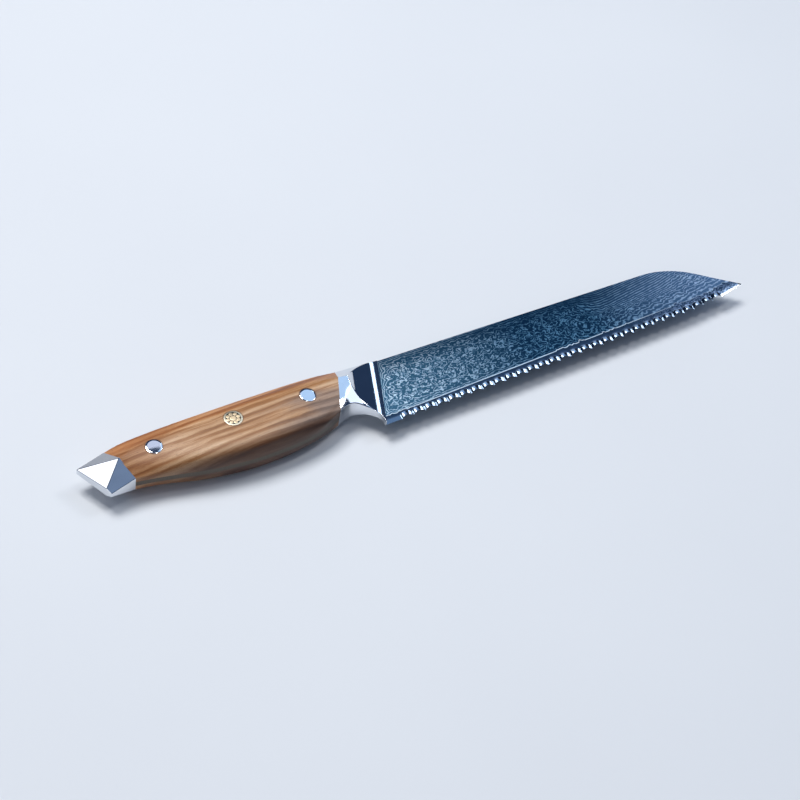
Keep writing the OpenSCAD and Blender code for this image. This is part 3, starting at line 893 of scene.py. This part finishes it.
# Area lights, each as its name, azimuth, elevation, distance, width and height in metres, watts, colour as
# screen values, and shape. Most are reflectors for one polished face or a few, seen from the camera.
WHITE = (255, 255, 255)
LIGHTS = [
    ("main", -20, 66, 1.8, 0.7, 0.7, 25, WHITE, "RECTANGLE"),
    ("sky_panel", 68, 61, 1.8, 1.24, 0.96, 3.1, (192, 222, 255), "ELLIPSE"),
    ("side_panel", 113, 55, 1.8, 0.55, 0.5, 1.0, (228, 238, 255), "ELLIPSE"),
    ("pin_panel", 28, 57, 1.8, 0.4, 0.4, 0.45, (228, 234, 255), "RECTANGLE"),
    ("lamp_low", 90, 50, 1.6, 0.24, 0.24, 3.0, WHITE, "RECTANGLE"),
    ("lamp_high", 125, 82, 1.8, 0.26, 0.26, 2.5, WHITE, "RECTANGLE"),
    ("strip", 53, 41, 4.0, 0.34, 0.7, 1.9, (205, 230, 255), "RECTANGLE"),
    ("back_panel", -13, 30, 2.2, 0.7, 0.5, 0.5, WHITE, "RECTANGLE"),
    ("front_panel", -176, 62, 2.0, 0.9, 0.9, 0.8, (195, 220, 255), "RECTANGLE"),
    ("panel", -64, 48, 1.8, 0.6, 0.6, 2, WHITE, "RECTANGLE"),
    ("fill", -120, 35, 2.0, 1.2, 1.2, 4, WHITE, "RECTANGLE"),
]
ROOM_COLOUR = (40, 58, 86)
FLOOR_REACH = 4.0


def toward(azimuth, elevation):
    """Unit vector for a direction: azimuth from +Y towards +X, elevation up, in degrees."""
    a, e = math.radians(azimuth), math.radians(elevation)
    return Vector((math.sin(a) * math.cos(e), math.cos(a) * math.cos(e), math.sin(e)))


def camera():
    data = bpy.data.cameras.new("camera")
    data.lens = CAMERA_LENS
    data.sensor_width = CAMERA_SENSOR
    eye = link("camera", data)
    sight = -toward(CAMERA_AZIMUTH, CAMERA_ELEVATION)
    eye.location = CAMERA_AIM - sight * CAMERA_DISTANCE
    turn = sight.to_track_quat("-Z", "Y") @ Quaternion((0, 0, 1), math.radians(CAMERA_ROLL))
    eye.rotation_mode = "QUATERNION"
    eye.rotation_quaternion = turn
    bpy.context.scene.camera = eye


def soft_light(name, azimuth, elevation, distance, width, height, watts, colour, shape):
    """Area light that shines on the knife and doesn't show in the picture itself."""
    data = bpy.data.lights.new(name, "AREA")
    data.shape = shape
    data.size = width
    data.size_y = height
    data.energy = watts
    data.color = linear(*colour)[:3]
    lamp = link(name, data)
    lamp.visible_camera = False
    lamp.location = toward(azimuth, elevation) * distance
    lamp.rotation_mode = "QUATERNION"
    lamp.rotation_quaternion = (-lamp.location).to_track_quat("-Z", "Y")


def room():
    """Dim blue surroundings, which the polished steel reflects between the lights."""
    world = bpy.data.worlds.new("room")
    world.use_nodes = True
    world.node_tree.nodes["Background"].inputs["Color"].default_value = linear(*ROOM_COLOUR)
    world.node_tree.nodes["Background"].inputs["Strength"].default_value = 1.0
    bpy.context.scene.world = world


def floor():
    mesh = bpy.data.meshes.new("floor")
    corners = [(x * FLOOR_REACH, y * FLOOR_REACH, 0) for x, y in ((-1, -1), (1, -1), (1, 1), (-1, 1))]
    mesh.from_pydata(corners, [], [(0, 1, 2, 3)])
    ground = link("floor", mesh)
    paint(ground, pale_floor())


def studio():
    """Pale floor under a large main light, in a dim blue room with soft panels around."""
    for light in LIGHTS:
        soft_light(*light)
    room()
    floor()
    bpy.context.scene.view_settings.view_transform = "Standard"


# --- The knife ---
def add_piece(piece, material, node):
    paint(piece, material)
    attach(piece, BODY)
    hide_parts(node)


def paint_node(node, material):
    """Gives a CAD node that stays visible its material."""
    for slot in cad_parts[node].material_slots:
        slot.material = material


def add_wood():
    timber = wood()
    add_piece(wood_scale("scale_right_wood", 1), timber, "scale_right")
    add_piece(wood_scale("scale_left_wood", -1), timber, "scale_left")


def add_fittings():
    bright = polished_steel()
    add_piece(bolster(), bright, "bolster")
    add_piece(butt_cap(), bright, "butt_cap")
    for node, at in (("pin_front", PIN_FRONT_AT), ("pin_rear", PIN_REAR_AT)):
        pin = plug(node + "_steel", at, PIN_R, proud=PIN_PROUD, flat=PIN_FLATNESS)
        add_piece(pin, bright, node)
    paint_node("tang", tang_steel())


def add_mosaic_pin(centre_sides=48):
    nickel = soft_metal("nickel_silver", linear(196, 188, 164), linear(234, 228, 206))
    brass = soft_metal("pale_brass", linear(204, 176, 136), linear(240, 220, 186))
    ring = plug("mosaic_ring", PIN_MOSAIC_AT, MOSAIC_R, MOSAIC_R - MOSAIC_WALL)
    add_piece(ring, nickel, "mosaic_tube")
    add_piece(mosaic_rods(), brass, "mosaic_rods")
    centre = plug("mosaic_centre", PIN_MOSAIC_AT, CENTRE_ROD_R, sides=centre_sides)
    add_piece(centre, brass, "mosaic_centre_rod")
    add_piece(mosaic_resin(), resin(), "mosaic_resin")


def add_blade(right_phase=0.4, left_phase=3.7):
    columns = Columns()
    right, left = columns.forge_line(right_phase), columns.forge_line(left_phase)
    etched = patterned_steel()
    add_piece(blade_core(columns, right, left), core_steel(), "blade_core")
    for node, line, side in (("cladding_right", right, 1), ("cladding_left", left, -1)):
        add_piece(cladding(node + "_etched", columns, line, side), etched, node)


camera()
studio()
add_wood()
add_fittings()
add_mosaic_pin()
add_blade()
